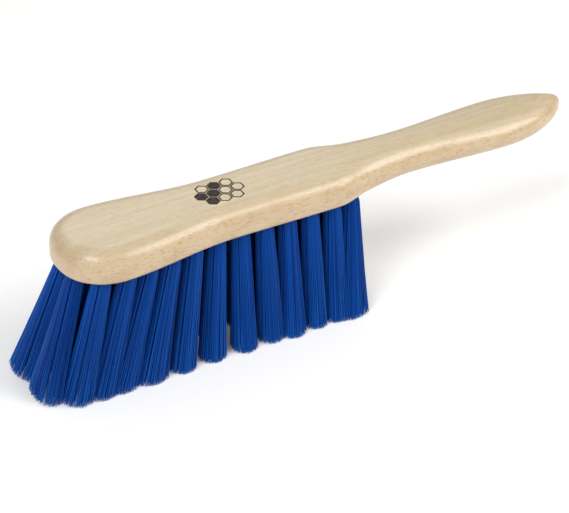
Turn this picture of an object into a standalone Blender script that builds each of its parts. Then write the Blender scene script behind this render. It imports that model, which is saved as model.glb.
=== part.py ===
"""Hand brush used as a bee brush: a one-piece beech stock filled with splayed tufts of filament.

Model frame: X runs from the toe to the handle tip, Z is up, Y = 0 is the plane of symmetry.
While it is drawn, x = 0 is the toe and z = 0 is the underside of the stock. One empty then
carries the whole brush so that the origin is the bottom centre of its bounding box.
"""
import math

import bmesh
import bpy
from mathutils import Matrix, Vector

MM = 0.001

# ---------------------------------------------------------------- stock
HEAD_LENGTH = 139 * MM        # toe to the shoulder, where the head turns in to the handle
HANDLE_LENGTH = 141 * MM      # shoulder to the handle tip
STOCK_THICKNESS = 16 * MM

HEAD_HALF_WIDTH = 24.4 * MM
WAIST_HALF_WIDTH = 18.4 * MM
SHOULDER_HALF_WIDTH = 19.3 * MM
FLARE_HALF_WIDTH = 14.9 * MM
NECK_HALF_WIDTH = 12.5 * MM
GRIP_HALF_WIDTH = 16.0 * MM

TOE_LENGTH = 24 * MM          # toe to the widest part of the head
WAIST_AT = 82 * MM            # toe to the waist of the head
FLARE_PAST = 19 * MM          # shoulder to the middle of the flare
NECK_PAST = 45 * MM           # shoulder to the neck
TIP_LENGTH = 40 * MM          # widest part of the grip to the tip

TOE_FULLNESS = 0.88           # 1 is a half ellipse, less is blunter
TIP_FULLNESS = 1.33           # more than 1 draws the handle end to a soft point
TOP_EDGE_RADIUS = 8.0 * MM
HEAD_BOTTOM_EDGE_RADIUS = 2.6 * MM
GRIP_BOTTOM_EDGE_RADIUS = 7.0 * MM
TIP_LIFT = 3.2 * MM           # how far the underside rises at the handle end

TOE_STEPS = 8
BODY_STEPS = 28
TIP_STEPS = 9
BOTTOM_ARC_STEPS = 4
TOP_ARC_STEPS = 5

# ---------------------------------------------------------------- drilling
HOLE_DIAMETER = 7.0 * MM
HOLE_FLOOR = 5.0 * MM         # wood left above each hole
ROW_COUNT = 12                # holes in each outer row
ROW_START = 15.3 * MM         # toe to the first outer hole
ROW_OVERRUN = 11.6 * MM       # last outer hole past the shoulder
EDGE_WALL = 3.5 * MM          # wood from a hole to the side of the head
TOE_PAIR_COUNT = 2            # half-pitch places nearest the toe that hold a pair
TOE_PAIR_WALL = 5.0 * MM      # wood between the holes of a pair
NOSE_WALL = 4.2 * MM          # wood between the two nose holes
NOSE_EDGE_WALL = 4.3 * MM     # wood from the nose holes to the toe

# ---------------------------------------------------------------- tufts
TRIM_LENGTH = 63 * MM         # underside of the stock to the trimmed tips
PLUG_CLEARANCE = 0.3 * MM     # tuft root to the wall and floor of its hole
PUFF_RUN = 3.6 * MM           # length over which a tuft opens to its body diameter
BODY_GAP = 1.2 * MM           # least gap between tufts just under the stock
TIP_GAP = 1.3 * MM            # least gap between tufts at their tips
TUFT_SIDES = 12

# splay of the tips against their holes
TIP_ROW_OFFSET = 18.4 * MM    # the outer rows end on this straight line
HEEL_TIP_OFFSET = 21.0 * MM   # the last tuft of each outer row stands out further
TOE_LEAN = 15.5 * MM
TOE_LEAN_FULL = 25 * MM       # holes nearer the toe than this lean fully
TOE_LEAN_NONE = 90 * MM       # holes further back than this stand straight
HEEL_LEAN = 2.0 * MM
NOSE_LEAN = 19.5 * MM
NOSE_SPREAD = 6.6 * MM
TOE_PAIR_SPREAD = 0.6 * MM
CUT_MARGIN = 20 * MM

# ---------------------------------------------------------------- sizes that follow
STOCK_LENGTH = HEAD_LENGTH + HANDLE_LENGTH
HOLE_RADIUS = HOLE_DIAMETER / 2
HOLE_DEPTH = STOCK_THICKNESS - HOLE_FLOOR
ROW_PITCH = (HEAD_LENGTH + ROW_OVERRUN - ROW_START) / (ROW_COUNT - 1)
EDGE_LIMIT = min(STOCK_THICKNESS / 2, NECK_HALF_WIDTH * 0.7)
TOP_EDGE = min(TOP_EDGE_RADIUS, EDGE_LIMIT)
HEAD_BOTTOM_EDGE = min(HEAD_BOTTOM_EDGE_RADIUS, (STOCK_THICKNESS - TOP_EDGE) * 0.9)
GRIP_BOTTOM_EDGE = min(GRIP_BOTTOM_EDGE_RADIUS, (STOCK_THICKNESS - TOP_EDGE) * 0.9)


def smoothstep(value):
    """Ease a value from 0 to 1."""
    value = min(1.0, max(0.0, value))
    return value * value * (3.0 - 2.0 * value)


def make_material(name, colour, roughness, coat=0.0):
    """Return a Principled material."""
    material = bpy.data.materials.new(name)
    material.use_nodes = True
    shader = material.node_tree.nodes["Principled BSDF"]
    shader.inputs["Base Color"].default_value = (*colour, 1.0)
    shader.inputs["Roughness"].default_value = roughness
    shader.inputs["Metallic"].default_value = 0.0
    shader.inputs["Coat Weight"].default_value = coat
    return material


# ---------------------------------------------------------------- stock outline
STATIONS = [
    (TOE_LENGTH, HEAD_HALF_WIDTH),
    (WAIST_AT, WAIST_HALF_WIDTH),
    (HEAD_LENGTH, SHOULDER_HALF_WIDTH),
    (HEAD_LENGTH + FLARE_PAST, FLARE_HALF_WIDTH),
    (HEAD_LENGTH + NECK_PAST, NECK_HALF_WIDTH),
    (STOCK_LENGTH - TIP_LENGTH, GRIP_HALF_WIDTH),
]


def station_slopes():
    """Slopes of a monotone curve through the stations, level where the width turns round."""
    rises = [(b[1] - a[1]) / (b[0] - a[0]) for a, b in zip(STATIONS, STATIONS[1:])]
    slopes = [0.0]
    for before, after in zip(rises, rises[1:]):
        turning = before * after <= 0.0
        slopes.append(0.0 if turning else 2.0 * before * after / (before + after))
    slopes.append(0.0)
    return slopes


def body_half_width(x):
    """Half width between the widest point of the head and the widest point of the grip."""
    slopes = station_slopes()
    last = len(STATIONS) - 2
    index = max(0, min(last, sum(1 for s in STATIONS if s[0] <= x) - 1))
    (x0, w0), (x1, w1) = STATIONS[index], STATIONS[index + 1]
    span = x1 - x0
    t = min(1.0, max(0.0, (x - x0) / span))
    rise = smoothstep(t)
    bend0 = t * (1.0 - t) ** 2 * span * slopes[index]
    bend1 = t * t * (t - 1.0) * span * slopes[index + 1]
    return w0 + (w1 - w0) * rise + bend0 + bend1


def half_width(x):
    """Half width of the stock anywhere along it."""
    head_x = STATIONS[0][0]
    grip_x = STATIONS[-1][0]
    if x < head_x:
        across = 1.0 - ((head_x - x) / head_x) ** 2
        return HEAD_HALF_WIDTH * across ** (TOE_FULLNESS / 2)
    if x > grip_x:
        across = 1.0 - ((x - grip_x) / TIP_LENGTH) ** 2
        return GRIP_HALF_WIDTH * max(0.0, across) ** (TIP_FULLNESS / 2)
    return body_half_width(x)


def bottom_edge(x):
    """Rounding of the lower edge: crisp on the head and nearly half round on the handle."""
    blend = smoothstep((x - HEAD_LENGTH) / NECK_PAST)
    return HEAD_BOTTOM_EDGE + (GRIP_BOTTOM_EDGE - HEAD_BOTTOM_EDGE) * blend


def half_outline(arc, top):
    """Points (x, y, z) down one side at one level of the top or bottom edge rounding."""
    def level(x):
        radius = TOP_EDGE if top else bottom_edge(x)
        drawn_in = radius * (1.0 - math.cos(arc))
        if top:
            return drawn_in, STOCK_THICKNESS - radius * (1.0 - math.sin(arc))
        lift = TIP_LIFT * max(0.0, (x - grip_x) / TIP_LENGTH) ** 2
        return drawn_in, radius * (1.0 - math.sin(arc)) + lift * math.sin(arc) ** 2

    head_x = STATIONS[0][0]
    grip_x = STATIONS[-1][0]
    points = []
    for step in range(TOE_STEPS):
        turn = 0.5 * math.pi * step / TOE_STEPS
        drawn_in, z = level(0.0)
        x = drawn_in + (head_x - drawn_in) * (1.0 - math.cos(turn))
        points.append((x, (HEAD_HALF_WIDTH - drawn_in) * math.sin(turn) ** TOE_FULLNESS, z))
    for step in range(BODY_STEPS + 1):
        x = head_x + (grip_x - head_x) * step / BODY_STEPS
        drawn_in, z = level(x)
        points.append((x, body_half_width(x) - drawn_in, z))
    for step in range(1, TIP_STEPS + 1):
        turn = 0.5 * math.pi * step / TIP_STEPS
        drawn_in, z = level(grip_x + TIP_LENGTH * math.sin(turn))
        x = grip_x + (TIP_LENGTH - drawn_in) * math.sin(turn)
        across = max(0.0, math.cos(turn)) ** TIP_FULLNESS
        points.append((x, (GRIP_HALF_WIDTH - drawn_in) * across, z))
    points[-1] = (points[-1][0], 0.0, points[-1][2])
    return points


def build_stock(material, parent, collection):
    """Loft the stock through its rounded levels, from the flat underside to the flat top."""
    bm = bmesh.new()
    levels = [(0.5 * math.pi * (1 - k / BOTTOM_ARC_STEPS), False) for k in range(BOTTOM_ARC_STEPS + 1)]
    levels += [(0.5 * math.pi * k / TOP_ARC_STEPS, True) for k in range(TOP_ARC_STEPS + 1)]
    rings = []
    for arc, top in levels:
        side = half_outline(arc, top)
        right = [bm.verts.new((x, -y, z)) for x, y, z in side]
        left = [bm.verts.new((x, y, z)) for x, y, z in side[-2:0:-1]]
        rings.append(right + left)
    count = len(rings[0])
    for lower, upper in zip(rings, rings[1:]):
        for i in range(count):
            j = (i + 1) % count
            bm.faces.new((lower[i], lower[j], upper[j], upper[i]))
    for ring, up in ((rings[0], False), (rings[-1], True)):
        for i in range(count // 2):
            face = [ring[i], ring[i + 1], ring[-i - 1], ring[-i]]
            face = list(dict.fromkeys(face))
            bm.faces.new(face if up else face[::-1])
    bmesh.ops.recalc_face_normals(bm, faces=bm.faces)
    return add_object("stock", bm, material, parent, collection)


# ---------------------------------------------------------------- tuft layout
def toe_lean(x):
    """How far along X the tip of a tuft stands from its hole."""
    forward = smoothstep((TOE_LEAN_NONE - x) / (TOE_LEAN_NONE - TOE_LEAN_FULL))
    row_end = ROW_START + ROW_PITCH * ROW_COUNT
    backward = smoothstep((x - TOE_LEAN_NONE) / (row_end - TOE_LEAN_NONE))
    return HEEL_LEAN * backward - TOE_LEAN * forward


def tuft_layout():
    """Return (name, hole x, hole y, tip x, tip y) for every tuft."""
    places = []
    for side, word in ((-1, "right"), (1, "left")):
        x = NOSE_EDGE_WALL + HOLE_RADIUS
        y = HOLE_RADIUS + NOSE_WALL / 2
        tip_y = y + NOSE_SPREAD
        places.append((f"tuft_nose_{word}", x, side * y, x - NOSE_LEAN, side * tip_y))
        for i in range(ROW_COUNT):
            x = ROW_START + ROW_PITCH * i
            y = half_width(x) - EDGE_WALL - HOLE_RADIUS
            tip_y = HEEL_TIP_OFFSET if i == ROW_COUNT - 1 else TIP_ROW_OFFSET
            places.append((f"tuft_{word}_{i + 1:02d}", x, side * y, x + toe_lean(x), side * tip_y))
        for i in range(TOE_PAIR_COUNT):
            x = ROW_START + ROW_PITCH * (i + 0.5)
            y = HOLE_RADIUS + TOE_PAIR_WALL / 2
            tip_y = y + TOE_PAIR_SPREAD
            places.append((f"tuft_toe_{word}_{i + 1}", x, side * y, x + toe_lean(x), side * tip_y))
    for i in range(TOE_PAIR_COUNT, ROW_COUNT):
        x = ROW_START + ROW_PITCH * (i + 0.5)
        places.append((f"tuft_middle_{i - TOE_PAIR_COUNT + 1:02d}", x, 0.0, x + toe_lean(x), 0.0))
    return places


def tightest(points):
    """Smallest distance between any two of these plan points."""
    return min(math.dist(a, b) for i, a in enumerate(points) for b in points[:i])


def steepest(places):
    """Largest sideways run of any tuft for each unit of its drop."""
    return max(math.dist(place[1:3], place[3:5]) for place in places) / TRIM_LENGTH


def tuft_matrix(place):
    """Frame of one tuft: its hole mouth on the underside, local -Z towards its tip."""
    _, x, y, tip_x, tip_y = place
    direction = Vector((tip_x - x, tip_y - y, -TRIM_LENGTH)).normalized()
    turn = Vector((0, 0, -1)).rotation_difference(direction)
    return Matrix.Translation((x, y, 0)) @ turn.to_matrix().to_4x4()


# ---------------------------------------------------------------- objects
def add_object(name, bm, material, parent, collection):
    """Turn a bmesh into a named object under the brush's empty."""
    mesh = bpy.data.meshes.new(name)
    bm.to_mesh(mesh)
    bm.free()
    if material:
        mesh.materials.append(material)
    mesh.shade_smooth()
    mesh.set_sharp_from_angle(angle=math.radians(40))
    obj = bpy.data.objects.new(name, mesh)
    obj.parent = parent
    collection.objects.link(obj)
    return obj


def hide_cutter(obj):
    """Show a cutter as wire and keep it out of renders."""
    obj.display_type = "WIRE"
    obj.hide_render = True


def build_drill(places, parent, collection):
    """One cutter with a cylinder for every hole, each along its tuft's own axis."""
    bm = bmesh.new()
    below = HOLE_DIAMETER * steepest(places) + PLUG_CLEARANCE
    for place in places:
        matrix = tuft_matrix(place) @ Matrix.Translation((0, 0, (HOLE_DEPTH - below) / 2))
        bmesh.ops.create_cone(
            bm, cap_ends=True, segments=TUFT_SIDES, radius1=HOLE_RADIUS,
            radius2=HOLE_RADIUS, depth=HOLE_DEPTH + below, matrix=matrix)
    drill = add_object("drill", bm, None, parent, collection)
    hide_cutter(drill)
    return drill


def build_trim_block(places, parent, collection):
    """Cutter that shears every tuft off level, below the trim plane."""
    low = min(place[3] for place in places) - CUT_MARGIN
    high = max(place[3] for place in places) + CUT_MARGIN
    reach = max(abs(place[4]) for place in places) + CUT_MARGIN
    size = (high - low, 2 * reach, 2 * CUT_MARGIN)
    centre = ((low + high) / 2, 0, -TRIM_LENGTH - CUT_MARGIN)
    bm = bmesh.new()
    bmesh.ops.create_cube(bm, size=1.0)
    bmesh.ops.scale(bm, vec=size, verts=bm.verts)
    bmesh.ops.translate(bm, vec=centre, verts=bm.verts)
    block = add_object("trim_block", bm, None, parent, collection)
    hide_cutter(block)
    return block


def tuft_profile(places, material):
    """Half profile of a tuft at +X, from its root in the hole down past the trim plane."""
    root = HOLE_RADIUS - PLUG_CLEARANCE
    collar = HOLE_RADIUS * steepest(places) + PLUG_CLEARANCE
    puff = collar + PUFF_RUN
    end = TRIM_LENGTH + CUT_MARGIN / 2
    body_radius = (tightest([place[1:3] for place in places]) - BODY_GAP) / 2
    tip_radius = (tightest([place[3:5] for place in places]) - TIP_GAP) / 2
    end_radius = body_radius + (tip_radius - body_radius) * (end - puff) / (TRIM_LENGTH - puff)
    profile = [
        (0.0, HOLE_DEPTH - PLUG_CLEARANCE),
        (root, HOLE_DEPTH - PLUG_CLEARANCE),
        (root, -collar),
        (body_radius, -puff),
        (end_radius, -end),
        (0.0, -end),
    ]
    bm = bmesh.new()
    verts = [bm.verts.new((r, 0.0, z)) for r, z in profile]
    for a, b in zip(verts, verts[1:]):
        bm.edges.new((a, b))
    mesh = bpy.data.meshes.new("tuft_profile")
    bm.to_mesh(mesh)
    bm.free()
    mesh.materials.append(material)
    return mesh


def build_tuft(place, profile, trim_block, parent, collection):
    """Turn one tuft on its axis and trim it level."""
    tuft = bpy.data.objects.new(place[0], profile)
    tuft.parent = parent
    tuft.rotation_mode = "QUATERNION"
    matrix = tuft_matrix(place)
    tuft.location = matrix.to_translation()
    tuft.rotation_quaternion = matrix.to_quaternion()
    collection.objects.link(tuft)
    screw = tuft.modifiers.new("turn", "SCREW")
    screw.axis = "Z"
    screw.steps = TUFT_SIDES
    screw.render_steps = TUFT_SIDES
    screw.use_merge_vertices = True
    screw.merge_threshold = 0.00005
    screw.use_smooth_shade = True
    trim = tuft.modifiers.new("trim", "BOOLEAN")
    trim.operation = "DIFFERENCE"
    trim.solver = "EXACT"
    trim.object = trim_block
    return tuft


def centre_on_base(parent, parts):
    """Move the empty so that the origin is the bottom centre of the finished brush."""
    bpy.context.view_layer.update()
    depsgraph = bpy.context.evaluated_depsgraph_get()
    corners = []
    for part in parts:
        shape = part.evaluated_get(depsgraph)
        corners += [shape.matrix_world @ Vector(corner) for corner in mesh_corners(shape)]
    low = [min(corner[axis] for corner in corners) for axis in range(3)]
    high = [max(corner[axis] for corner in corners) for axis in range(3)]
    parent.location = (-(low[0] + high[0]) / 2, -(low[1] + high[1]) / 2, -low[2])
    bpy.context.view_layer.update()


def mesh_corners(shape):
    """Vertex positions of an evaluated object, in its own space."""
    mesh = shape.to_mesh()
    points = [vertex.co.copy() for vertex in mesh.vertices]
    shape.to_mesh_clear()
    return points


def main():
    """Build the brush."""
    for obj in list(bpy.data.objects):
        bpy.data.objects.remove(obj, do_unlink=True)
    parts_collection = bpy.data.collections.new("bee_brush")
    cutter_collection = bpy.data.collections.new("cutters")
    for collection in (parts_collection, cutter_collection):
        bpy.context.scene.collection.children.link(collection)
    beech = make_material("lacquered_beech", (0.68, 0.49, 0.28), 0.42, coat=0.3)
    filament = make_material("blue_filament", (0.005, 0.065, 0.32), 0.45)

    base = bpy.data.objects.new("brush_frame", None)
    base.empty_display_size = STOCK_THICKNESS
    parts_collection.objects.link(base)

    places = tuft_layout()
    stock = build_stock(beech, base, parts_collection)
    drill = build_drill(places, base, cutter_collection)
    holes = stock.modifiers.new("holes", "BOOLEAN")
    holes.operation = "DIFFERENCE"
    holes.solver = "EXACT"
    holes.object = drill

    trim_block = build_trim_block(places, base, cutter_collection)
    profile = tuft_profile(places, filament)
    tufts = [build_tuft(place, profile, trim_block, base, parts_collection) for place in places]
    centre_on_base(base, [stock, *tufts])


main()
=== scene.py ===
"""Visual model of a bee brush: a lacquered beech stock set with fanned tufts of blue filament."""
import logging
import math
from dataclasses import dataclass, field
from enum import Enum
from functools import partial
from typing import NamedTuple

import bmesh
import bpy
import numpy as np
from mathutils import Matrix, Vector


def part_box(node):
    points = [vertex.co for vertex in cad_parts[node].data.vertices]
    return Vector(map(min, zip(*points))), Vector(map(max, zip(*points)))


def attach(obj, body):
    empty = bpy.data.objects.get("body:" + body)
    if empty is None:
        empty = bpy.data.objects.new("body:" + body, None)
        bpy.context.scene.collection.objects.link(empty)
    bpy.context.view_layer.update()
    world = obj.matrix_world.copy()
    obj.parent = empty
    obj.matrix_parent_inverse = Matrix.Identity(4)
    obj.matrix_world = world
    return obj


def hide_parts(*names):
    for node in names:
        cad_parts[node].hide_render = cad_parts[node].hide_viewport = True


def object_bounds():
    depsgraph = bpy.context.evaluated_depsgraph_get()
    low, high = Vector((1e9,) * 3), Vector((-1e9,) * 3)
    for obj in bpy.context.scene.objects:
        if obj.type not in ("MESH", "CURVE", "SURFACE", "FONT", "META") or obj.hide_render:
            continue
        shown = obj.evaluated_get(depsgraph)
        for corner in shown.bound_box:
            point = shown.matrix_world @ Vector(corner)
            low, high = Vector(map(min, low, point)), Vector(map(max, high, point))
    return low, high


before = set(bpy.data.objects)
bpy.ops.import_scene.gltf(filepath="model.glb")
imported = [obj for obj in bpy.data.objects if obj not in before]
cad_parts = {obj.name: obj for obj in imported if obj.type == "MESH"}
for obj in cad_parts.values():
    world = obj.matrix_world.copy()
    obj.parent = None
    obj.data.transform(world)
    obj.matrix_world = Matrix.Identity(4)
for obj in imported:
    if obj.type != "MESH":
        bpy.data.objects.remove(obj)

MM = 0.001
CAD_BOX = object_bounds()
LOG = logging.getLogger("bee_brush")
TIP_RING = 0.1 * MM
# a root's end ring is tilted with its tuft, so it spans more height than the level trim does
ROOT_RING = 2.3 * MM
GOLDEN_RATIO = 0.6180340
# what a socket, a setting or a modifier's input can be given
Value = float | str | tuple[float, ...] | Vector | bpy.types.ID | bpy.types.Node | bpy.types.NodeSocket
# what the tuft and stamp trees work with, and no finished mesh needs
WORKING_VALUES = ("run", "along", "across", "flare", "disc", "chance", "filled")


# ------------------------------------------------------------------ shared helpers
def linear(hex_colour: str) -> tuple[float, float, float, float]:
    """Turn an sRGB hex colour into linear RGBA.

    Args:
        hex_colour: Six hex digits, with or without a leading hash.

    Returns:
        The linear colour with an alpha of 1.
    """
    digits = hex_colour.lstrip("#")
    values = [int(digits[i:i + 2], 16) / 255 for i in (0, 2, 4)]
    parts = [v / 12.92 if v <= 0.04045 else ((v + 0.055) / 1.055) ** 2.4 for v in values]
    return (parts[0], parts[1], parts[2], 1.0)


def smoothstep(value: float) -> float:
    """Ease a value from 0 to 1."""
    value = min(1.0, max(0.0, value))
    return value * value * (3.0 - 2.0 * value)


def feed(node: bpy.types.Node, inputs: dict[str | int, Value]) -> None:
    """Set or link a node's inputs.

    Args:
        node: The node.
        inputs: Input name or number to a value, a socket, or a node whose first output feeds it.
    """
    for key, value in inputs.items():
        if isinstance(value, bpy.types.Node):
            value = value.outputs[0]
        if isinstance(value, bpy.types.NodeSocket):
            node.id_data.links.new(value, node.inputs[key])
        else:
            node.inputs[key].default_value = value


def add_node(tree: bpy.types.NodeTree, kind: str, inputs: dict[str | int, Value] | None = None,
             **settings: Value) -> bpy.types.Node:
    """Add one node with its settings, and fill or link its inputs.

    Args:
        tree: Shader or geometry tree that gets the node.
        kind: Blender's type name for the node.
        inputs: What its inputs are given, as in feed.
        settings: Properties of the node itself.

    Returns:
        The new node.
    """
    node = tree.nodes.new(kind)
    for name, value in settings.items():
        setattr(node, name, value)
    feed(node, inputs or {})
    return node


def set_curve(node: bpy.types.Node, points: list[tuple[float, float]]) -> None:
    """Give a Float Curve node straight runs between these points.

    Args:
        node: The Float Curve node.
        points: Ends of the runs, from left to right.
    """
    curve = node.mapping.curves[0]
    for _ in range(len(points) - len(curve.points)):
        curve.points.new(0.5, 0.5)
    for point, place in zip(curve.points, points):
        point.location = place
        point.handle_type = "VECTOR"
    node.mapping.update()


def new_material(name: str) -> tuple[bpy.types.Material, partial, bpy.types.Node]:
    """Make a node material.

    Args:
        name: Name of the finish.

    Returns:
        The material, the function that adds a node to it, and its Principled shader.
    """
    material = bpy.data.materials.new(name)
    material.use_nodes = True
    tree = material.node_tree
    return material, partial(add_node, tree), tree.nodes["Principled BSDF"]


def new_object(name: str, data: bpy.types.ID) -> bpy.types.Object:
    """Make an object and link it to the scene.

    Args:
        name: Name of the object.
        data: Its mesh, lamp or camera.

    Returns:
        The new object, at the origin.
    """
    obj = bpy.data.objects.new(name, data)
    bpy.context.scene.collection.objects.link(obj)
    return obj


def mesh_object(name: str, bm: bmesh.types.BMesh) -> bpy.types.Object:
    """Turn a bmesh into an object at the origin.

    Args:
        name: Name of the piece.
        bm: Its shape, which is freed.

    Returns:
        The new object, linked to the scene.
    """
    mesh = bpy.data.meshes.new(name)
    bm.to_mesh(mesh)
    bm.free()
    return new_object(name, mesh)


def loose_points(name: str, places: list[Vector], values: dict[str, list]) -> bpy.types.Object:
    """Make an object of loose vertices that carry named values.

    Args:
        name: Name of the piece.
        places: The vertices.
        values: Name to one vector, or one true or false, for each vertex.

    Returns:
        The new object, linked to the scene.
    """
    mesh = bpy.data.meshes.new(name)
    mesh.from_pydata([tuple(place) for place in places], [], [])
    for key, column in values.items():
        truths = isinstance(column[0], bool)
        layer = mesh.attributes.new(key, "BOOLEAN" if truths else "FLOAT_VECTOR", "POINT")
        flat = np.array(column, bool if truths else np.float32).ravel()
        layer.data.foreach_set("value" if truths else "vector", flat)
    return new_object(name, mesh)


def make_plain(obj: bpy.types.Object) -> None:
    """Replace an object's mesh by its evaluated one, with no modifier or working value left.

    Args:
        obj: The object, whose mesh keeps its finish and its tone only.
    """
    depsgraph = bpy.context.evaluated_depsgraph_get()
    mesh = bpy.data.meshes.new_from_object(obj.evaluated_get(depsgraph))
    obj.modifiers.clear()
    for name in WORKING_VALUES:
        if name in mesh.attributes:
            mesh.attributes.remove(mesh.attributes[name])
    finishes = [material for material in mesh.materials if material]
    mesh.materials.clear()
    for material in finishes:
        mesh.materials.append(material)
    old = obj.data
    obj.data = mesh
    mesh.name = obj.name
    bpy.data.meshes.remove(old)


def open_group(name: str, inputs: dict[str, str]) -> tuple[bpy.types.NodeTree,
                                                           bpy.types.NodeOutputs]:
    """Start a Geometry Nodes tree.

    Args:
        name: Name of the tree.
        inputs: Names of its inputs after the geometry, each with its kind of socket.

    Returns:
        The tree, and the sockets that bring its inputs in.
    """
    tree = bpy.data.node_groups.new(name, "GeometryNodeTree")
    tree.interface.new_socket("Geometry", in_out="OUTPUT", socket_type="NodeSocketGeometry")
    for label, kind in {"Geometry": "Geometry", **inputs}.items():
        tree.interface.new_socket(label, in_out="INPUT", socket_type=f"NodeSocket{kind}")
    return tree, add_node(tree, "NodeGroupInput").outputs


def close_group(tree: bpy.types.NodeTree, shape: bpy.types.Node,
                finish: bpy.types.NodeSocket) -> bpy.types.NodeTree:
    """End a Geometry Nodes tree in plain geometry of one finish.

    Args:
        tree: The tree.
        shape: The node that gives the geometry.
        finish: The socket that brings the finish in.

    Returns:
        The finished tree.
    """
    whole = add_node(tree, "GeometryNodeRealizeInstances", {0: shape})
    dressed = add_node(tree, "GeometryNodeSetMaterial", {"Geometry": whole, "Material": finish})
    add_node(tree, "NodeGroupOutput", {0: dressed})
    return tree


def run_group(obj: bpy.types.Object, tree: bpy.types.NodeTree, values: dict[str, Value]) -> None:
    """Run a Geometry Nodes tree on an object and keep the plain result.

    Args:
        obj: The object.
        tree: The tree.
        values: Each input's name in the tree, with what it is set to.
    """
    modifier = obj.modifiers.new(tree.name, "NODES")
    modifier.node_group = tree
    sockets = {item.name: item.identifier for item in tree.interface.items_tree
               if item.in_out == "INPUT"}
    for name, value in values.items():
        modifier[sockets[name]] = value
    make_plain(obj)


# ------------------------------------------------------------------ finishes
@dataclass(frozen=True)
class LacqueredBeech:
    """European beech, sanded and dipped in clear lacquer.

    The eye sees a pale straw-pink wood with faint long grain, short brown ray flecks that show
    most on the sides, and a thin clear coat that catches soft highlights on the rounded edges.
    """

    pale: str = "#CCBD9E"
    warm: str = "#C3B08C"
    side: str = "#CEB28D"
    deep: str = "#A87F4F"
    fleck: str = "#93683C"
    roughness: float = 0.5
    lacquer: float = 0.8
    lacquer_roughness: float = 0.25

    def material(self) -> bpy.types.Material:
        """Build the beech material on object coordinates, in millimetres of real grain."""
        material, add, shader = new_material("lacquered_beech")
        place = add("ShaderNodeTexCoord").outputs["Object"]
        # repeats in a metre along and across the grain, octaves of detail, and warp
        noises = {}
        for name, along, across, detail, warp in (
                # growth rings: about 4 mm wide bands, drawn out along the stock
                ("rings", 9, 240, 3.0, 0.6),
                # pores: about 4 mm long, drawn 0.6 mm wide, where the real ones are 0.1 mm
                ("pores", 240, 1500, 2.0, 0.0),
                # the ray flecks come and go in patches
                ("patches", 70, 300, 1.0, 0.0),
                # the board's depth of colour drifts in soft patches of about 10 mm
                ("drift", 70, 130, 2.0, 0.0)):
            at = add("ShaderNodeMapping", {"Vector": place, "Scale": (along, across, across)})
            noises[name] = add("ShaderNodeTexNoise", {
                "Vector": at, "Scale": 1.0, "Detail": detail, "Distortion": warp})
        band = add("ShaderNodeMapRange", {
            "Value": noises["rings"], "From Min": 0.32, "From Max": 0.68})
        pore = add("ShaderNodeMapRange", {
            "Value": noises["pores"], "From Min": 0.50, "From Max": 0.78, "To Max": 0.30})
        patch = add("ShaderNodeMapRange", {
            "Value": noises["patches"], "From Min": 0.30, "From Max": 0.50})
        cloud = add("ShaderNodeMapRange", {
            "Value": noises["drift"], "From Min": 0.42, "From Max": 0.68, "To Max": 0.24})
        # the sides are cut across the rays: warmer, with lens-shaped flecks 2 to 3 mm long
        normal = add("ShaderNodeNewGeometry").outputs["Normal"]
        facing = add("ShaderNodeSeparateXYZ", {0: normal}).outputs["Z"]
        upright = add("ShaderNodeMath", {0: facing}, operation="ABSOLUTE")
        flank = add("ShaderNodeMapRange", {"Value": upright, "From Min": 0.97, "From Max": 0.55})
        warmed = add("ShaderNodeMath", {0: flank, 1: 0.65}, operation="MULTIPLY")
        shown = add("ShaderNodeMapRange", {"Value": flank, "To Min": 0.16, "To Max": 1.0})
        rays_at = add("ShaderNodeMapping", {"Vector": place, "Scale": (250, 1350, 1350)})
        rays = add("ShaderNodeTexVoronoi", {"Vector": rays_at, "Scale": 1.0, "Randomness": 1.0})
        ray = add("ShaderNodeMapRange", {
            "Value": rays.outputs["Distance"], "From Min": 0.48, "From Max": 0.14, "To Max": 0.50})
        held = add("ShaderNodeMath", {0: ray, 1: patch}, operation="MULTIPLY")
        fleck = add("ShaderNodeMath", {0: held, 1: shown}, operation="MULTIPLY")
        clouded = add("ShaderNodeMath", {0: cloud, 1: shown}, operation="MULTIPLY")
        wood = add("ShaderNodeMix", {
            0: band, 6: linear(self.pale), 7: linear(self.warm)}, data_type="RGBA")
        for amount, colour in ((pore, self.fleck), (warmed, self.side), (fleck, self.fleck),
                               (clouded, self.deep)):
            wood = add("ShaderNodeMix", {
                0: amount, 6: wood.outputs[2], 7: linear(colour)}, data_type="RGBA")
        grain = add("ShaderNodeBump", {
            "Strength": 0.12, "Distance": 0.05 * MM, "Height": noises["pores"]})
        feed(shader, {
            "Base Color": wood.outputs[2], "Normal": grain, "Roughness": self.roughness,
            "IOR": 1.5, "Coat Weight": self.lacquer, "Coat Roughness": self.lacquer_roughness,
            "Coat IOR": 1.5})
        return material


@dataclass(frozen=True)
class DyedFilament:
    """Polypropylene monofilament, dyed in the mass and drawn, with a slight wax gloss.

    Single filaments differ a little in depth of colour, which gives the tufts their fine stripes.
    """

    deep: str = "#013B94"
    bright: str = "#0156B4"
    pale: str = "#1B6CC2"
    roughness: float = 0.38

    def material(self) -> bpy.types.Material:
        """Build the filament material on the tone that each filament carries."""
        material, add, shader = new_material("dyed_filament")
        tone = add("ShaderNodeAttribute", attribute_name="tone").outputs["Fac"]
        body = add("ShaderNodeMapRange", {
            "Value": tone, "From Min": 0.0, "From Max": 0.85})
        dyed = add("ShaderNodeMix", {
            0: body, 6: linear(self.deep), 7: linear(self.bright)}, data_type="RGBA")
        light = add("ShaderNodeMapRange", {
            "Value": tone, "From Min": 0.94, "From Max": 1.25, "To Max": 0.75})
        colour = add("ShaderNodeMix", {
            0: light, 6: dyed.outputs[2], 7: linear(self.pale)}, data_type="RGBA")
        feed(shader, {
            "Base Color": colour.outputs[2], "Roughness": self.roughness, "IOR": 1.49,
            "Specular IOR Level": 0.18})
        return material


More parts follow.
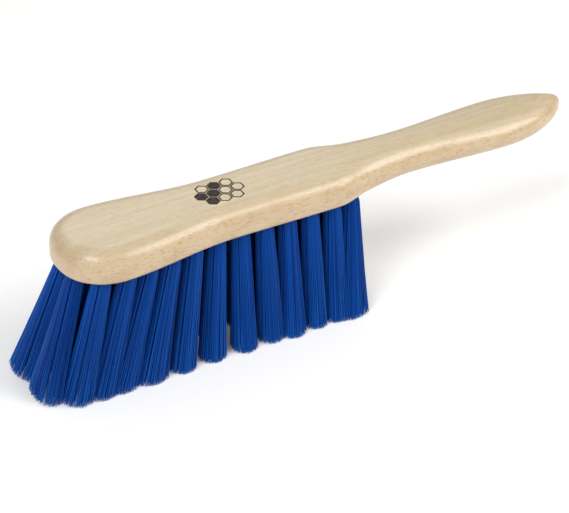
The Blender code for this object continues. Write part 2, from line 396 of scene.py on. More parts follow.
@dataclass(frozen=True)
class TinnedWire:
    """Flat steel anchor wire, tinned, with faint drawing lines along it."""

    colour: str = "#B9BBBD"

    def material(self) -> bpy.types.Material:
        """Build the wire material, with lines of about 0.1 mm."""
        material, add, shader = new_material("tinned_wire")
        place = add("ShaderNodeTexCoord").outputs["Object"]
        lines = add("ShaderNodeTexNoise", {"Vector": place, "Scale": 9000.0})
        rough = add("ShaderNodeMapRange", {
            "Value": lines, "To Min": 0.22, "To Max": 0.42})
        feed(shader, {
            "Base Color": linear(self.colour), "Metallic": 1.0, "Roughness": rough})
        return material


@dataclass(frozen=True)
class StampInk:
    """Dark brown-black stamping ink, thin enough to break up over the wood's pores."""

    ink: str = "#1C1916"
    worn: str = "#5E5241"

    def material(self) -> bpy.types.Material:
        """Build the ink material, with wear in patches of about 0.6 mm."""
        material, add, shader = new_material("stamp_ink")
        place = add("ShaderNodeTexCoord").outputs["Object"]
        at = add("ShaderNodeMapping", {"Vector": place, "Scale": (500, 1800, 1800)})
        wear = add("ShaderNodeTexNoise", {"Vector": at, "Scale": 1.0, "Detail": 3.0})
        amount = add("ShaderNodeMapRange", {
            "Value": wear, "From Min": 0.5, "From Max": 0.75, "To Max": 0.8})
        colour = add("ShaderNodeMix", {
            0: amount, 6: linear(self.ink), 7: linear(self.worn)}, data_type="RGBA")
        feed(shader, {
            "Base Color": colour.outputs[2], "Roughness": 0.55, "Specular IOR Level": 0.3})
        return material


# ------------------------------------------------------------------ tuft places
class Row(Enum):
    """The rows that the tufts stand in."""

    RIGHT = "right"
    LEFT = "left"
    MIDDLE = "middle"


@dataclass(frozen=True)
class TuftAxis:
    """Centre line of one tuft, from its root in the hole to its trimmed end."""

    node: str
    root: Vector
    tip: Vector

    @classmethod
    def from_node(cls, name: str) -> "TuftAxis":
        """Read a tuft's centre line from the ends of its CAD solid.

        Args:
            name: The tuft's node.

        Returns:
            Its centre line.
        """
        places = {tuple(round(c, 6) for c in v.co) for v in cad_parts[name].data.vertices}
        low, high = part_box(name)
        ends = []
        for level, reach in ((low.z, TIP_RING), (high.z, ROOT_RING)):
            ring = [Vector(p) for p in places if abs(p[2] - level) < reach]
            ends.append(sum(ring, Vector()) / len(ring))
        return cls(name, ends[1], ends[0])

    def row(self) -> Row:
        """Tell which row the tuft belongs to."""
        if "toe" in self.node or "middle" in self.node:
            return Row.MIDDLE
        return Row.RIGHT if "right" in self.node else Row.LEFT

    def mouth(self, underside: float) -> Vector:
        """Give the point where the centre line leaves the wood.

        Args:
            underside: Height of the stock's flat underside.

        Returns:
            The centre of the hole's mouth.
        """
        share = (self.root.z - underside) / (self.root.z - self.tip.z)
        return self.root.lerp(self.tip, share)


# ------------------------------------------------------------------ stock
@dataclass
class Stock:
    """One-piece beech stock: head, neck, grip and tip, with a blind hole for each tuft."""

    head_length: float = 139 * MM
    toe_length: float = 24 * MM
    tip_length: float = 40 * MM
    waist_at: float = 82 * MM
    flare_past: float = 19 * MM
    neck_past: float = 45 * MM
    head_half_width: float = 24.4 * MM
    waist_half_width: float = 18.4 * MM
    shoulder_half_width: float = 19.3 * MM
    flare_half_width: float = 14.9 * MM
    neck_half_width: float = 12.5 * MM
    grip_half_width: float = 16.0 * MM
    toe_fullness: float = 0.88
    tip_fullness: float = 1.55
    top_edge: float = 8.0 * MM
    head_bottom_edge: float = 2.6 * MM
    grip_bottom_edge: float = 7.0 * MM
    head_spread: float = 1.2
    grip_dome: float = 0.80
    grip_belly: float = 0.50
    tip_lift: float = 3.2 * MM
    tip_rise: float = 1.0 * MM
    skin: float = 0.06 * MM
    hole_diameter: float = 7.0 * MM
    floor_room: float = 0.3 * MM
    hole_sides: int = 24
    sharp_from: float = 38.0
    toe_steps: int = 24
    body_steps: int = 96
    tip_steps: int = 26
    arc_steps: int = 9

    def __post_init__(self) -> None:
        """Take the stock's place from its CAD node."""
        self.low, self.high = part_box("stock")
        self.length = self.high.x - self.low.x
        # a skin's thickness is left under the CAD face for the stamped ink
        self.top = self.high.z - self.skin
        self.thickness = self.top - self.low.z

    def stations(self) -> list[tuple[float, float]]:
        """Give distance from the toe and half width at each named station."""
        return [
            (self.toe_length, self.head_half_width),
            (self.waist_at, self.waist_half_width),
            (self.head_length, self.shoulder_half_width),
            (self.head_length + self.flare_past, self.flare_half_width),
            (self.head_length + self.neck_past, self.neck_half_width),
            (self.length - self.tip_length, self.grip_half_width),
        ]

    def body_half_width(self, x: float) -> float:
        """Half width between the widest points of head and grip.

        Args:
            x: Distance from the toe.

        Returns:
            Half the plan width there, on a monotone curve through the stations.
        """
        stations = self.stations()
        rises = [(b[1] - a[1]) / (b[0] - a[0]) for a, b in zip(stations, stations[1:])]
        slopes = [0.0]
        for one, two in zip(rises, rises[1:]):
            slopes.append(0.0 if one * two <= 0 else 2 * one * two / (one + two))
        slopes.append(0.0)
        index = max(0, min(len(rises) - 1, sum(s[0] <= x for s in stations) - 1))
        (x0, w0), (x1, w1) = stations[index], stations[index + 1]
        span = x1 - x0
        t = min(1.0, max(0.0, (x - x0) / span))
        bend = t * (1 - t) ** 2 * slopes[index] + t * t * (t - 1) * slopes[index + 1]
        return w0 + (w1 - w0) * smoothstep(t) + bend * span

    def side_points(self, arc: float, top: bool) -> list[tuple[float, float, float]]:
        """Points down one side at one level of an edge rounding.

        Args:
            arc: Angle round the edge, 0 at the wall and a quarter turn at the flat.
            top: True for the upper edge.

        Returns:
            Places from the toe to the handle tip, in the row frame.
        """
        grip_at = self.length - self.tip_length

        def level(x: float) -> tuple[float, float]:
            """Inset and height of this level at a distance from the toe."""
            # the upper edges are broader than they are deep, and the grip's section is nearly oval
            blend = smoothstep((x - self.head_length) / self.neck_past)
            wide = self.body_half_width(min(x, grip_at))
            past = max(0.0, (x - grip_at) / self.tip_length) ** 2
            if top:
                deep = self.top_edge - self.tip_rise * past
                broad = self.head_spread * self.top_edge
                broad += (self.grip_dome * wide - broad) * blend
            else:
                deep = self.head_bottom_edge + self.tip_rise * past
                deep += (self.grip_bottom_edge - self.head_bottom_edge) * blend
                broad = self.head_bottom_edge
                broad += (self.grip_belly * wide - broad) * blend
            inset = broad * (1 - math.cos(arc))
            height = deep * (1 - math.sin(arc))
            if top:
                return inset, self.thickness - height
            return inset, height + self.tip_lift * past * math.sin(arc) ** 2

        points = []
        for step in range(self.toe_steps):
            turn = 0.5 * math.pi * step / self.toe_steps
            inset, z = level(0.0)
            x = inset + (self.toe_length - inset) * (1 - math.cos(turn))
            y = (self.head_half_width - inset) * math.sin(turn) ** self.toe_fullness
            points.append((x, y, z))
        for step in range(self.body_steps + 1):
            x = self.toe_length + (grip_at - self.toe_length) * step / self.body_steps
            inset, z = level(x)
            points.append((x, self.body_half_width(x) - inset, z))
        for step in range(1, self.tip_steps + 1):
            turn = 0.5 * math.pi * step / self.tip_steps
            inset, z = level(grip_at + self.tip_length * math.sin(turn))
            x = grip_at + (self.tip_length - inset) * math.sin(turn)
            y = (self.grip_half_width - inset) * max(0.0, math.cos(turn)) ** self.tip_fullness
            points.append((x, 0.0 if step == self.tip_steps else y, z))
        return [(x + self.low.x, y, z + self.low.z) for x, y, z in points]

    def body(self) -> bpy.types.Object:
        """Loft the stock through its rounded levels, from underside to top."""
        quarter = 0.5 * math.pi
        steps = self.arc_steps
        levels = [(quarter * (1 - k / steps), False) for k in range(steps + 1)]
        levels += [(quarter * k / steps, True) for k in range(steps + 1)]
        bm = bmesh.new()
        rings = []
        for arc, top in levels:
            side = self.side_points(arc, top)
            right = [bm.verts.new((x, -y, z)) for x, y, z in side]
            rings.append(right + [bm.verts.new((x, y, z)) for x, y, z in side[-2:0:-1]])
        count = len(rings[0])
        for lower, upper in zip(rings, rings[1:]):
            for i in range(count):
                j = (i + 1) % count
                bm.faces.new((lower[i], lower[j], upper[j], upper[i]))
        for ring, up in ((rings[0], False), (rings[-1], True)):
            for i in range(count // 2):
                face = list(dict.fromkeys([ring[i], ring[i + 1], ring[-i - 1], ring[-i]]))
                bm.faces.new(face if up else face[::-1])
        bmesh.ops.recalc_face_normals(bm, faces=bm.faces)
        return mesh_object("beech_stock", bm)

    def drill(self, axes: list[TuftAxis]) -> bpy.types.Object:
        """Make the cutter: a flat-bottomed cylinder on every tuft's centre line.

        Args:
            axes: The tufts' centre lines.

        Returns:
            The cutter, which is removed once it has cut.
        """
        bm = bmesh.new()
        radius = self.hole_diameter / 2
        for axis in axes:
            run = (axis.tip - axis.root).normalized()
            start = axis.root - run * self.floor_room
            end = axis.mouth(self.low.z) + run * radius
            turn = Vector((0, 0, -1)).rotation_difference(run).to_matrix().to_4x4()
            bmesh.ops.create_cone(
                bm, cap_ends=True, segments=self.hole_sides, radius1=radius, radius2=radius,
                depth=(end - start).length, matrix=Matrix.Translation((start + end) / 2) @ turn)
        return mesh_object("drill", bm)

    def build(self, axes: list[TuftAxis], finish: LacqueredBeech) -> bpy.types.Object:
        """Make, drill and dress the stock.

        Args:
            axes: The tufts' centre lines.
            finish: What the stock is made of.

        Returns:
            The finished stock.
        """
        stock = self.body()
        drill = self.drill(axes)
        cut = stock.modifiers.new("holes", "BOOLEAN")
        cut.solver = "EXACT"
        cut.object = drill
        make_plain(stock)
        bpy.data.objects.remove(drill)
        stock.data.shade_smooth()
        stock.data.set_sharp_from_angle(angle=math.radians(self.sharp_from))
        stock.data.materials.clear()
        stock.data.materials.append(finish.material())
        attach(stock, "root")
        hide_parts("stock")
        return stock


# ------------------------------------------------------------------ tufts
@dataclass
class Tufts:
    """Bundles of filament, each doubled over its anchor and fanned out to a level trim.

    The fan lists give, from the fold to the cut ends, the share of the tuft's length and the
    bundle's radius there as a share of its radius at the ends.
    """

    folded_filaments: int = 170
    filament_diameter: float = 0.36 * MM
    end_radius: float = 5.6 * MM
    wire_gap: float = 0.35 * MM
    steps: int = 6
    depth_shares: tuple[float, ...] = (0.0, 0.002, 0.15, 0.20, 0.42, 0.70, 1.0)
    radius_shares: tuple[float, ...] = (0.53, 0.53, 0.57, 0.72, 0.80, 0.89, 1.0)
    row_flare: float = 0.14
    side_flare: float = 0.12
    toe_flare: float = 0.34
    nose_flare: tuple[float, float] = (0.15, 1.00)
    heel_flare: float = 0.50
    flare_variation: tuple[float, float] = (0.5, 1.6)
    # how far from the toe end the nose and the toe reach, and how softly each fades out
    nose_reach: float = 22 * MM
    nose_fade: float = 14 * MM
    toe_reach: float = 105 * MM
    toe_fade: float = 50 * MM
    heel_from: float = 8 * MM
    heel_fade: float = 6 * MM
    waviness: float = 1.1 * MM
    own_spread: float = 90.0
    stray_from: float = 0.90
    stray_reach: float = 2.6
    trim_scatter: float = 0.9 * MM
    crown: float = 0.25 * MM
    scuff_from: float = 0.7
    scuff: float = 0.25
    nose_drift: float = 7.2 * MM
    tip_variation: tuple[float, float] = (1.5 * MM, 0.9 * MM)
    heel_set_back: float = 5.5 * MM
    parting_at: float = 102 * MM
    parting_lean: float = 4.4 * MM
    parting_from: float = 34 * MM
    parting_fade: float = 36 * MM
    box_room: float = 0.2 * MM
    wire_turn: float = 35.0
    wire_variation: float = 12.0
    seed: int = 11
    # each tuft's run and the way its fold lies, kept for the anchors
    placed: dict[str, tuple[Vector, Vector]] = field(default_factory=dict)

    def lean(self, axis: TuftAxis, rng: np.random.Generator) -> tuple[Vector, Vector]:
        """Lean and flare one tuft in its own way.

        Args:
            axis: The tuft's centre line.
            rng: Where its variation is drawn from.

        Returns:
            The run from its root to the middle of its ends, and how far the ends spread beyond
            the bundle along each axis.
        """
        toe_end = CAD_BOX[0][0]
        nose = smoothstep((toe_end + self.nose_reach - axis.tip.x) / self.nose_fade)
        toe = smoothstep((toe_end + self.toe_reach - axis.tip.x) / self.toe_fade)
        heel = smoothstep((axis.tip.x - self.heel_from) / self.heel_fade)
        wide = self.row_flare + (self.toe_flare - self.row_flare) * toe
        wide += (self.heel_flare - self.row_flare) * heel
        wide *= rng.uniform(*self.flare_variation)
        flare = Vector((wide, self.side_flare, 0)).lerp(Vector((*self.nose_flare, 0)), nose)
        vary = rng.uniform(-1, 1, 2) * self.tip_variation
        tip = axis.tip + Vector((vary[0] - self.heel_set_back * heel, vary[1], 0))
        tip.y += self.nose_drift * nose
        # the rows have parted near their middle: from there to the toe they lean further
        along_row = axis.root.x - toe_end
        if along_row < self.parting_at:
            forward = smoothstep((along_row - self.parting_from) / self.parting_fade)
            tip.x -= self.parting_lean * forward
        # the cut ends stay inside the CAD model's box
        for side in (0, 1):
            room = self.end_radius * (1 + flare[side]) + self.box_room
            tip[side] = min(max(tip[side], CAD_BOX[0][side] + room), CAD_BOX[1][side] - room)
        return tip - axis.root, flare

    def starts(self, name: str, axes: list[TuftAxis]) -> bpy.types.Object:
        """Make one vertex for each tuft, with its run and the way its anchor lies.

        Args:
            name: Name of the piece.
            axes: Centre lines of the tufts in it.

        Returns:
            An object of loose vertices that carries the tufts' attributes.
        """
        rng = np.random.default_rng(self.seed + len(name))
        values = {"run": [], "along": [], "across": [], "flare": []}
        for axis in axes:
            run, flare = self.lean(axis, rng)
            vary = rng.uniform(-self.wire_variation, self.wire_variation)
            turn = math.radians(self.wire_turn + vary)
            along = Vector((math.cos(turn), math.sin(turn), 0))
            across = Vector((-math.sin(turn), math.cos(turn), 0))
            for column, value in zip(values.values(), (run, along, across, flare)):
                column.append(value)
            self.placed[axis.node] = (run, along)
        return loose_points(name, [axis.root for axis in axes], values)

    def tree(self) -> bpy.types.NodeTree:
        """Build the tree that fills each tuft with folded filaments."""
        tree, given = open_group("filament_tufts", {
            "Filaments": "Int", "Filament Diameter": "Float", "End Radius": "Float",
            "Wire Gap": "Float", "Waviness": "Float", "Trim Scatter": "Float", "Crown": "Float",
            "Low Limit": "Vector", "High Limit": "Vector", "Seed": "Int", "Finish": "Material"})
        add = partial(add_node, tree)

        # one point for each folded filament, spread evenly over half of the bundle's disc
        copies = add("GeometryNodeDuplicateElements", {
            "Geometry": given["Geometry"], "Amount": given["Filaments"]}, domain="POINT")
        number = copies.outputs["Duplicate Index"]
        centred = add("ShaderNodeMath", {0: number, 1: 0.5}, operation="ADD")
        share = add("ShaderNodeMath", {0: centred, 1: given["Filaments"]}, operation="DIVIDE")
        out = add("ShaderNodeMath", {0: share}, operation="SQRT")
        golden = add("ShaderNodeMath", {0: number, 1: GOLDEN_RATIO}, operation="MULTIPLY")
        part = add("ShaderNodeMath", {0: golden}, operation="FRACT")
        angle = add("ShaderNodeMath", {0: part, 1: math.pi}, operation="MULTIPLY")
        disc_x, disc_y = (add("ShaderNodeMath", {
            0: out, 1: add("ShaderNodeMath", {0: angle}, operation=wave)}, operation="MULTIPLY")
            for wave in ("COSINE", "SINE"))
        disc = add("ShaderNodeCombineXYZ", {0: disc_x, 1: disc_y, 2: out})
        chance = add("FunctionNodeRandomValue", {
            "ID": add("GeometryNodeInputIndex"), "Seed": given["Seed"]}, data_type="FLOAT_VECTOR")
        points = copies
        for key, value in (("disc", disc), ("chance", chance)):
            points = add("GeometryNodeStoreNamedAttribute", {
                "Geometry": points, "Name": key, "Value": value},
                data_type="FLOAT_VECTOR", domain="POINT")

        # a straight line for each filament, then bent over the wire and down both legs
        line = add("GeometryNodeCurvePrimitiveLine", {"End": (0.0, 0.0, 0.001)})
        line = add("GeometryNodeResampleCurve", {"Curve": line, "Count": 2 * self.steps + 1})
        lines = add("GeometryNodeInstanceOnPoints", {"Points": points, "Instance": line})
        lines = add("GeometryNodeRealizeInstances", {0: lines})
        run, along, across, flare, disc, chance = (add("GeometryNodeInputNamedAttribute", {
            "Name": key}, data_type="FLOAT_VECTOR")
            for key in ("run", "along", "across", "flare", "disc", "chance"))
        part = add("GeometryNodeSplineParameter").outputs["Factor"]
        leg = add("ShaderNodeMapRange", {"Value": part, "To Min": -1.0, "To Max": 1.0})
        way = add("ShaderNodeMath", {0: leg}, operation="SIGN")
        down = add("ShaderNodeMath", {0: leg}, operation="ABSOLUTE")
        depth = add("ShaderNodeFloatCurve", {"Value": down})
        opened = add("ShaderNodeFloatCurve", {"Value": down})
        for curve, shares in ((depth, self.depth_shares), (opened, self.radius_shares)):
            set_curve(curve, [(i / self.steps, v) for i, v in enumerate(shares)])
        radius = add("ShaderNodeMath", {0: opened, 1: given["End Radius"]}, operation="MULTIPLY")
        spot = add("ShaderNodeSeparateXYZ", {0: disc}).outputs
        aside = add("ShaderNodeMath", {0: spot[0], 1: radius}, operation="MULTIPLY")
        apart = add("ShaderNodeMath", {
            0: spot[1], 1: radius, 2: given["Wire Gap"]}, operation="MULTIPLY_ADD")
        apart = add("ShaderNodeMath", {0: apart, 1: way}, operation="MULTIPLY")
        first = add("GeometryNodePointsOfCurve", {"Curve Index": add("GeometryNodeCurveOfPoint")})
        root = add("GeometryNodeSampleIndex", {
            "Geometry": lines, "Value": add("GeometryNodeInputPosition"), "Index": first},
            data_type="FLOAT_VECTOR", domain="POINT")
        fall = add("ShaderNodeVectorMath", {0: run, 1: depth}, operation="MULTIPLY")
        place = add("ShaderNodeVectorMath", {0: root, 1: fall}, operation="ADD")
        sideways = [add("ShaderNodeVectorMath", {0: direction, "Scale": size}, operation="SCALE")
                    for direction, size in ((along, aside), (across, apart))]
        offset = add("ShaderNodeVectorMath", {0: sideways[0], 1: sideways[1]}, operation="ADD")
        flare = add("ShaderNodeVectorMath", {0: flare, "Scale": depth}, operation="SCALE")
        place = add("ShaderNodeVectorMath", {
            0: offset, 1: flare, 2: place}, operation="MULTIPLY_ADD")

        # each leg wanders on its own, most at its free end; a few stray further
        own = add("ShaderNodeVectorMath", {
            0: chance, "Scale": self.own_spread}, operation="SCALE")
        legs = add("ShaderNodeCombineXYZ", {0: way, 1: depth, 2: way})
        seen = add("ShaderNodeVectorMath", {0: own, 1: legs}, operation="ADD")
        wander = add("ShaderNodeTexNoise", {
            "Vector": seen, "Scale": 1.0, "Detail": 0.0}).outputs["Color"]
        wander = add("ShaderNodeVectorMath", {
            0: wander, 1: (0.5, 0.5, 0.5)}, operation="SUBTRACT")
        luck = add("ShaderNodeSeparateXYZ", {0: chance}).outputs
        stray = add("ShaderNodeMapRange", {
            "Value": luck[0], "From Min": self.stray_from, "From Max": 1.0, "To Min": 1.0,
            "To Max": self.stray_reach})
        free = add("ShaderNodeMath", {0: depth, 1: 2.0}, operation="POWER")
        size = add("ShaderNodeMath", {0: stray, 1: given["Waviness"]}, operation="MULTIPLY")
        size = add("ShaderNodeMath", {0: size, 1: free}, operation="MULTIPLY")
        wander = add("ShaderNodeVectorMath", {0: wander, "Scale": size}, operation="SCALE")

        # trimmed ends: a slight crown on each tuft, and a scatter of short filaments
        edge = add("ShaderNodeMath", {0: spot[2], 1: 3.0}, operation="POWER")
        crown = add("ShaderNodeMath", {0: edge, 1: given["Crown"]}, operation="MULTIPLY")
        short = add("ShaderNodeMath", {0: luck[1], 1: 4.0}, operation="POWER")
        rise = add("ShaderNodeMath", {
            0: short, 1: given["Trim Scatter"], 2: crown}, operation="MULTIPLY_ADD")
        rise = add("ShaderNodeMath", {0: rise, 1: free}, operation="MULTIPLY")
        lift = add("ShaderNodeCombineXYZ", {2: rise})
        for change, operation in (
                (offset, "ADD"), (wander, "ADD"), (lift, "ADD"), (given["Low Limit"], "MAXIMUM"),
                (given["High Limit"], "MINIMUM")):
            place = add("ShaderNodeVectorMath", {0: place, 1: change}, operation=operation)
        bent = add("GeometryNodeSetPosition", {"Geometry": lines, "Position": place})
        # the cut ends are scuffed a little paler
        scuffed = add("ShaderNodeMapRange", {
            "Value": depth, "From Min": self.scuff_from, "To Max": self.scuff})
        tone = add("ShaderNodeMath", {0: luck[2], 1: scuffed}, operation="ADD")
        toned = add("GeometryNodeStoreNamedAttribute", {
            "Geometry": bent, "Name": "tone", "Value": tone}, data_type="FLOAT", domain="POINT")
        thickness = add("ShaderNodeMath", {
            0: given["Filament Diameter"], 1: 0.5}, operation="MULTIPLY")
        section = add("GeometryNodeCurvePrimitiveCircle", {"Resolution": 4, "Radius": thickness})
        strands = add("GeometryNodeCurveToMesh", {
            "Curve": toned, "Profile Curve": section, "Fill Caps": True})
        smooth = add("GeometryNodeSetShadeSmooth", {"Geometry": strands})
        return close_group(tree, smooth, given["Finish"])

    def build(self, axes: list[TuftAxis], finish: DyedFilament) -> list[bpy.types.Object]:
        """Make the filament of every row.

        Args:
            axes: Centre lines of all the tufts.
            finish: What the filament is made of.

        Returns:
            Two finished pieces for each row, at its toe end and its heel end.
        """
        tree = self.tree()
        material = finish.material()
        margin = Vector((1, 1, 1)) * (0.75 * self.filament_diameter)
        pieces = []
        halves = []
        for row in Row:
            members = sorted((a for a in axes if a.row() is row), key=lambda a: a.root.x)
            middle = len(members) // 2
            halves.append((f"{row.value}_row_toe_filaments", members[:middle]))
            halves.append((f"{row.value}_row_heel_filaments", members[middle:]))
        for index, (name, members) in enumerate(halves):
            piece = self.starts(name, members)
            run_group(piece, tree, {
                "Filaments": self.folded_filaments, "Filament Diameter": self.filament_diameter,
                "End Radius": self.end_radius, "Wire Gap": self.wire_gap,
                "Waviness": self.waviness, "Trim Scatter": self.trim_scatter,
                "Crown": self.crown, "Low Limit": Vector(CAD_BOX[0]) + margin,
                "High Limit": Vector(CAD_BOX[1]) - margin, "Seed": self.seed + index,
                "Finish": material})
            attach(piece, "root")
            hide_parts(*[axis.node for axis in members])
            pieces.append(piece)
        return pieces


# ------------------------------------------------------------------ stamped mark
@dataclass
class StampedMark:
    """A plain honeycomb stamp on top of the head, in rows of three, four and three cells."""

    centre_from_toe: float = 84 * MM
    cell_radius: float = 3.5 * MM
    line: float = 0.75 * MM
    gap: float = 0.3 * MM
    film: float = 0.04 * MM
    film_lift: float = 0.005 * MM
    rows: tuple[int, ...] = (3, 4, 3)
    filled: tuple[int, ...] = (0, 3, 4, 8)

    def starts(self, stock: Stock) -> bpy.types.Object:
        """Make one vertex for each cell, which says if the cell is filled.

        Args:
            stock: The stock the mark is printed on.

        Returns:
            An object of loose vertices.
        """
        pitch = self.cell_radius * math.sqrt(3) + self.gap
        height = stock.top + self.film_lift + self.film / 2
        places = []
        for number, count in enumerate(self.rows):
            y = (number - (len(self.rows) - 1) / 2) * pitch * math.sqrt(0.75)
            for cell in range(count):
                x = stock.low.x + self.centre_from_toe + (cell - (count - 1) / 2) * pitch
                places.append((x, y, height))
        inked = [number in self.filled for number in range(len(places))]
        return loose_points("stamped_mark", places, {"filled": inked})

    def tree(self) -> bpy.types.NodeTree:
        """Build the tree that sets an open or a filled cell on each vertex."""
        tree, given = open_group("honeycomb_stamp", {
            "Cell Radius": "Float", "Line": "Float", "Film": "Float", "Finish": "Material"})
        add = partial(add_node, tree)
        solid = add("GeometryNodeMeshCylinder", {
            "Vertices": 6, "Radius": given["Cell Radius"], "Depth": given["Film"]})
        path_radius = add("ShaderNodeMath", {
            0: given["Line"], 1: -0.5, 2: given["Cell Radius"]}, operation="MULTIPLY_ADD")
        path = add("GeometryNodeCurvePrimitiveCircle", {"Resolution": 6, "Radius": path_radius})
        section = add("GeometryNodeCurvePrimitiveQuadrilateral", {
            "Width": given["Line"], "Height": given["Film"]})
        ring = add("GeometryNodeCurveToMesh", {"Curve": path, "Profile Curve": section})
        filled = add("GeometryNodeInputNamedAttribute", {"Name": "filled"}, data_type="BOOLEAN")
        empty = add("FunctionNodeBooleanMath", {0: filled}, operation="NOT")
        upright = (0.0, 0.0, math.pi / 6)
        both = add("GeometryNodeJoinGeometry")
        for chosen, shape in ((filled, solid), (empty, ring)):
            cells = add("GeometryNodeInstanceOnPoints", {
                "Points": given["Geometry"], "Selection": chosen, "Instance": shape,
                "Rotation": upright})
            tree.links.new(cells.outputs[0], both.inputs[0])
        return close_group(tree, both, given["Finish"])

    def build(self, stock: Stock, finish: StampInk) -> bpy.types.Object:
        """Lay the stamp on the stock's flat top.

        Args:
            stock: The stock it is printed on.
            finish: The ink.

        Returns:
            The finished mark.
        """
        mark = self.starts(stock)
        run_group(mark, self.tree(), {
            "Cell Radius": self.cell_radius, "Line": self.line, "Film": self.film,
            "Finish": finish.material()})
        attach(mark, "root")
        return mark


# ------------------------------------------------------------------ anchors
@dataclass
class AnchorWires:
    """Flat wire anchors, one driven across each hole floor through the fold of the filaments."""

    bite: float = 0.5 * MM
    width: float = 1.7 * MM
    thickness: float = 0.3 * MM
    below_fold: float = 1.1 * MM

    def build(self, axes: list[TuftAxis], tufts: Tufts, stock: Stock,
              finish: TinnedWire) -> bpy.types.Object:
        """Place an anchor at every root.

        Args:
            axes: Centre lines of the tufts.
            tufts: The tufts, whose folds the anchors lie in.
            stock: The stock they are driven into.
            finish: The wire.

        Returns:
            The finished anchors, as one piece.
        """
        tree, given = open_group("anchor_wires", {
            "Wire Size": "Vector", "Drop": "Float", "Finish": "Material"})
        add = partial(add_node, tree)
        wire = add("GeometryNodeMeshCube", {"Size": given["Wire Size"]})
        down, side = (add("GeometryNodeInputNamedAttribute", {
            "Name": key}, data_type="FLOAT_VECTOR") for key in ("run", "along"))
        turn = add("FunctionNodeAxesToRotation", {
            "Primary Axis": down, "Secondary Axis": side}, primary_axis="Z", secondary_axis="X")
        unit = add("ShaderNodeVectorMath", {0: down}, operation="NORMALIZE")
        step = add("ShaderNodeVectorMath", {0: unit, "Scale": given["Drop"]}, operation="SCALE")
        moved = add("GeometryNodeSetPosition", {"Geometry": given["Geometry"], "Offset": step})
        wires = add("GeometryNodeInstanceOnPoints", {
            "Points": moved, "Instance": wire, "Rotation": turn})
        close_group(tree, wires, given["Finish"])
        runs, sides = zip(*(tufts.placed[axis.node] for axis in axes))
        piece = loose_points("anchor_wires", [axis.root for axis in axes], {
            "run": runs, "along": sides})
        length = stock.hole_diameter + 2 * self.bite
        run_group(piece, tree, {
            "Wire Size": Vector((length, self.thickness, self.width)), "Drop": self.below_fold,
            "Finish": finish.material()})
        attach(piece, "root")
        return piece


# ------------------------------------------------------------------ studio
class Softbox(NamedTuple):
    """A square light that faces the brush: place and side in metres, power in watts."""

    name: str
    place: tuple[float, float, float]
    size: float
    power: float
    colour: str


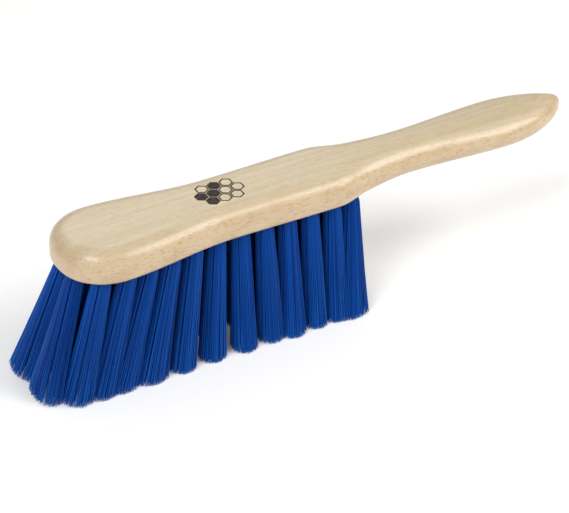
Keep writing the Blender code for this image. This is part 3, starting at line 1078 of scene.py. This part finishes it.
@dataclass
class Studio:
    """Pale floor, soft lights and the camera."""

    azimuth: float = -32.691
    elevation: float = 32.579
    roll: float = 1.608
    distance: float = 1005.4 * MM
    lens: float = 133.6
    aim_right: float = -16.36 * MM
    aim_up: float = -41.375 * MM
    middle_height: float = 10 * MM
    sensor_width: float = 36.0
    sky: float = 0.33
    table_glow: float = 0.07
    paper: str = "#FAFAF9"
    floor_half: float = 6.0
    lights_aim: tuple[float, float, float] = (0.0, 0.0, 0.05)
    softboxes: tuple[Softbox, ...] = (
        Softbox("key_softbox", (0.86, -0.68, 0.97), 0.8, 12.8, "#FFFDF9"),
        Softbox("front_fill", (-1.35, -0.55, 0.62), 0.9, 5.2, "#F8FAFF"),
        Softbox("top_fill", (-0.75, -0.40, 1.20), 0.55, 7.0, "#FFFFFF"),
        Softbox("back_wash", (0.35, 1.45, 1.25), 1.3, 7.0, "#FFFFFF"))

    def camera(self, stock: Stock) -> bpy.types.Object:
        """Stand the camera off the toe end, looking down at the brush.

        Args:
            stock: The stock, whose middle the camera is set from.

        Returns:
            The camera.
        """
        middle = Vector(((stock.low.x + stock.high.x) / 2, 0, stock.low.z + self.middle_height))
        az, el, roll = (math.radians(v) for v in (self.azimuth, self.elevation, self.roll))
        back = Vector((math.sin(az) * math.cos(el), -math.cos(az) * math.cos(el), math.sin(el)))
        place = middle + back * self.distance
        right = (-back).cross(Vector((0, 0, 1))).normalized()
        aim = middle + right * self.aim_right + right.cross(-back) * self.aim_up
        forward = (aim - place).normalized()
        right = forward.cross(Vector((0, 0, 1))).normalized()
        up = right.cross(forward)
        across = right * math.cos(roll) + up * math.sin(roll)
        upward = up * math.cos(roll) - right * math.sin(roll)
        matrix = Matrix((across, upward, -forward)).transposed().to_4x4()
        matrix.translation = place
        data = bpy.data.cameras.new("camera")
        data.lens = self.lens
        data.sensor_width = self.sensor_width
        data.clip_start = 0.01
        camera = new_object("camera", data)
        camera.matrix_world = matrix
        bpy.context.scene.camera = camera
        return camera

    def light(self, box: Softbox) -> None:
        """Hang a softbox and aim it at the brush.

        Args:
            box: The softbox.
        """
        data = bpy.data.lights.new(box.name, "AREA")
        data.size = box.size
        data.energy = box.power
        data.color = linear(box.colour)[:3]
        lamp = new_object(box.name, data)
        lamp.location = box.place
        aim = Vector(self.lights_aim) - Vector(box.place)
        lamp.rotation_euler = aim.to_track_quat("-Z", "Y").to_euler()

    def floor(self) -> bpy.types.Object:
        """Lay a pale paper floor under the brush."""
        bm = bmesh.new()
        bmesh.ops.create_grid(bm, x_segments=1, y_segments=1, size=self.floor_half)
        floor = mesh_object("studio_floor", bm)
        floor.location.z = CAD_BOX[0][2]
        material, add, shader = new_material("studio_paper")
        place = add("ShaderNodeTexCoord").outputs["Object"]
        fibre = add("ShaderNodeTexNoise", {"Vector": place, "Scale": 900.0})
        rough = add("ShaderNodeMapRange", {
            "Value": fibre, "To Min": 0.75, "To Max": 0.9})
        # the paper lies on a faintly lit table
        feed(shader, {
            "Base Color": linear(self.paper), "Roughness": rough, "Specular IOR Level": 0.2,
            "Emission Color": (1.0, 1.0, 1.0, 1.0), "Emission Strength": self.table_glow})
        floor.data.materials.append(material)
        return floor

    def build(self, stock: Stock) -> None:
        """Set up floor, lights, sky and camera.

        Args:
            stock: The stock, which the camera is set from.
        """
        self.floor()
        self.camera(stock)
        for box in self.softboxes:
            self.light(box)
        world = bpy.data.worlds.new("studio_white")
        world.use_nodes = True
        feed(world.node_tree.nodes["Background"], {
            "Color": (1.0, 1.0, 1.0, 1.0), "Strength": self.sky})
        bpy.context.scene.world = world
        bpy.context.scene.view_settings.view_transform = "Standard"


def main() -> None:
    """Build the brush, its stamp and the studio."""
    logging.basicConfig(level=logging.INFO, format="%(name)s: %(message)s")
    names = sorted(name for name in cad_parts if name.startswith("tuft"))
    axes = [TuftAxis.from_node(name) for name in names]
    stock = Stock()
    tufts = Tufts()
    pieces = [stock.build(axes, LacqueredBeech())]
    pieces += tufts.build(axes, DyedFilament())
    pieces.append(AnchorWires().build(axes, tufts, stock, TinnedWire()))
    pieces.append(StampedMark().build(stock, StampInk()))
    for piece in pieces:
        LOG.info("%s: %d faces", piece.name, len(piece.data.polygons))
    Studio().build(stock)


if __name__ == "__main__":
    main()
